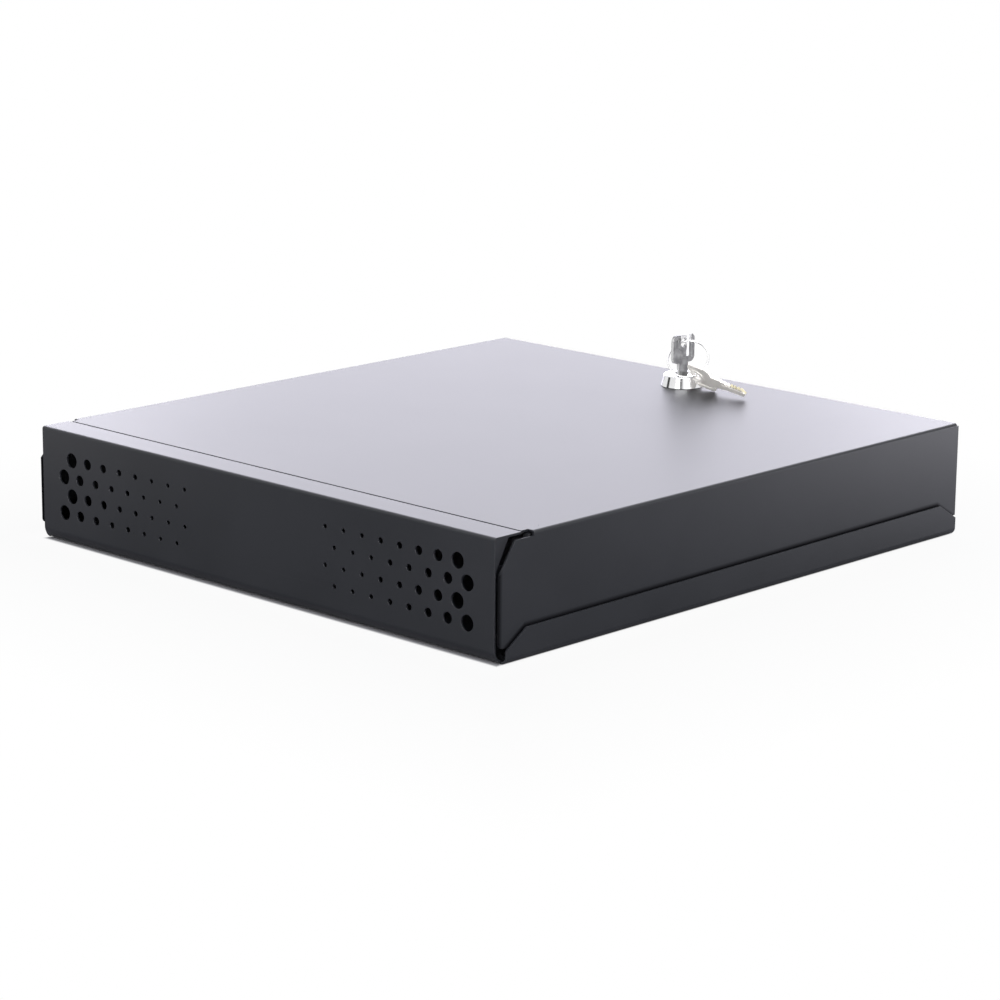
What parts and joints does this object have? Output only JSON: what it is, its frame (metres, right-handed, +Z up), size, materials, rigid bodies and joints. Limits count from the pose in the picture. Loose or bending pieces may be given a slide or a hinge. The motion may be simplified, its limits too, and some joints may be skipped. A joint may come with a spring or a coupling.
{
  "type": "rack equipment lock box",
  "caption": "Low lockable steel box for rack equipment: open tray with a perforated front, concealed-hinge lid and key cam lock.",
  "frame": {"origin": "middle of the box on the plane that its floor stands on, with the lid closed", "axes": "+Z up through the lid, +Y from the perforated front to the lock at the rear, +X to the right seen from the rear"},
  "size_m": [0.446, 0.468, 0.1182],
  "materials": {
    "black_powder_coat": "satin",
    "zinc_steel": "satin",
    "chrome": "polished",
    "nickel": "satin",
    "rubber": "matte"
  },
  "bodies": {
    "tray": {"base_tray": "black_powder_coat", "front_panel": "black_powder_coat", "rear_panel": "black_powder_coat", "cable_grommet_left": "rubber", "cable_grommet_right": "rubber", "hinge_bracket_left": "black_powder_coat", "hinge_bracket_right": "black_powder_coat", "hinge_pin_left": "zinc_steel", "hinge_pin_right": "zinc_steel", "front_rivets": "zinc_steel", "rear_rivets": "zinc_steel", "lock_strike": "zinc_steel", "strike_rivets": "zinc_steel", "lid_bumpers": "rubber"},
    "lid": {"lid_shell": "black_powder_coat", "hinge_arm_left": "black_powder_coat", "hinge_arm_right": "black_powder_coat", "lock_housing": "chrome", "lock_washer": "zinc_steel", "lock_nut": "zinc_steel"},
    "plug": {"lock_plug": "chrome", "stop_washer": "zinc_steel", "lock_cam": "zinc_steel", "cam_screw": "zinc_steel"},
    "key": {"key": "nickel"},
    "ring": {"key_ring": "nickel"},
    "spare": {"spare_key": "nickel"}
  },
  "joints": [
    {"name": "lid_hinge", "type": "hinge", "parent": "tray", "child": "lid", "pos_m": [0, -0.201, 0.074], "axis": [1, 0, 0], "range_deg": [0, 105]},
    {"name": "lock_turn", "type": "hinge", "parent": "lid", "child": "plug", "pos_m": [0, 0.1925, 0.0882], "axis": [0, 0, 1], "range_deg": [0, 90]},
    {"name": "key_slide", "type": "slide", "parent": "plug", "child": "key", "axis": [0, 0, 1], "range_m": [0, 0.024]},
    {"name": "ring_swing", "type": "hinge", "parent": "key", "child": "ring", "pos_m": [0, 0.19298, 0.11274], "axis": [0, -0.6655, -0.7464], "range_deg": [0, 50]},
    {"name": "spare_swing", "type": "hinge", "parent": "ring", "child": "spare", "pos_m": [0.0213, 0.185, 0.09158], "axis": [-0.6228, -0.6734, -0.3983], "range_deg": [0, 20]}
  ]
}
